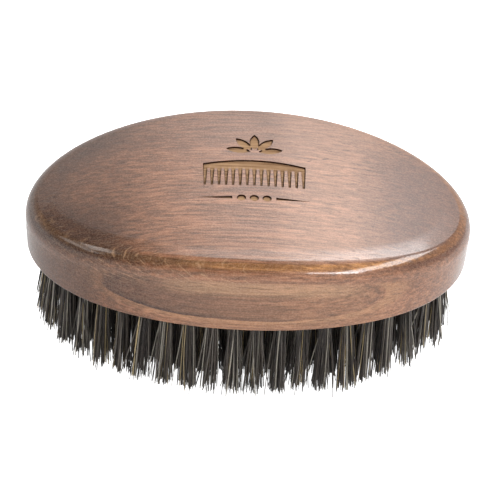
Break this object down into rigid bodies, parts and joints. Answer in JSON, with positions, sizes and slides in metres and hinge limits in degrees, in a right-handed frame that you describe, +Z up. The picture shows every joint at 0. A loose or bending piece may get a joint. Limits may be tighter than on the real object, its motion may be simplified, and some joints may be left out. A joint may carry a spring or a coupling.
{
  "type": "beard brush",
  "caption": "Oval palm beard brush: an arched solid wooden block to hold in the hand, drilled from below with leaning boar bristle tufts set on flat wire anchors.",
  "frame": {"origin": "middle of the level plane that the bristle tips stand on, under the tuft in the middle of the centre row", "axes": "+X along the brush's length, +Y across it towards the side that the top of the engraved spray points to, +Z up from the bristle tips to the arched top"},
  "size_m": [0.113, 0.066, 0.0442],
  "materials": {
    "stained_beech": "walnut-brown stain under clear gloss lacquer, engraving left unlacquered",
    "boar_bristle": "natural black boar bristle with grey and straw-coloured hairs mixed in",
    "anchor_wire": "flat galvanised wire, cut ends"
  },
  "bodies": {
    "root": {"wooden_block": "stained_beech", "tufts_ring_1_front": "boar_bristle", "tufts_ring_1_back": "boar_bristle", "tufts_ring_2_front": "boar_bristle", "tufts_ring_2_back": "boar_bristle", "tufts_ring_3_front": "boar_bristle", "tufts_ring_3_back": "boar_bristle", "tufts_ring_4_front": "boar_bristle", "tufts_ring_4_back": "boar_bristle", "tufts_ring_5_front": "boar_bristle", "tufts_ring_5_back": "boar_bristle", "tufts_centre_row": "boar_bristle", "anchors_ring_1_front": "anchor_wire", "anchors_ring_1_back": "anchor_wire", "anchors_ring_2_front": "anchor_wire", "anchors_ring_2_back": "anchor_wire", "anchors_ring_3_front": "anchor_wire", "anchors_ring_3_back": "anchor_wire", "anchors_ring_4_front": "anchor_wire", "anchors_ring_4_back": "anchor_wire", "anchors_ring_5_front": "anchor_wire", "anchors_ring_5_back": "anchor_wire", "anchors_centre_row": "anchor_wire"}
  },
  "joints": []
}
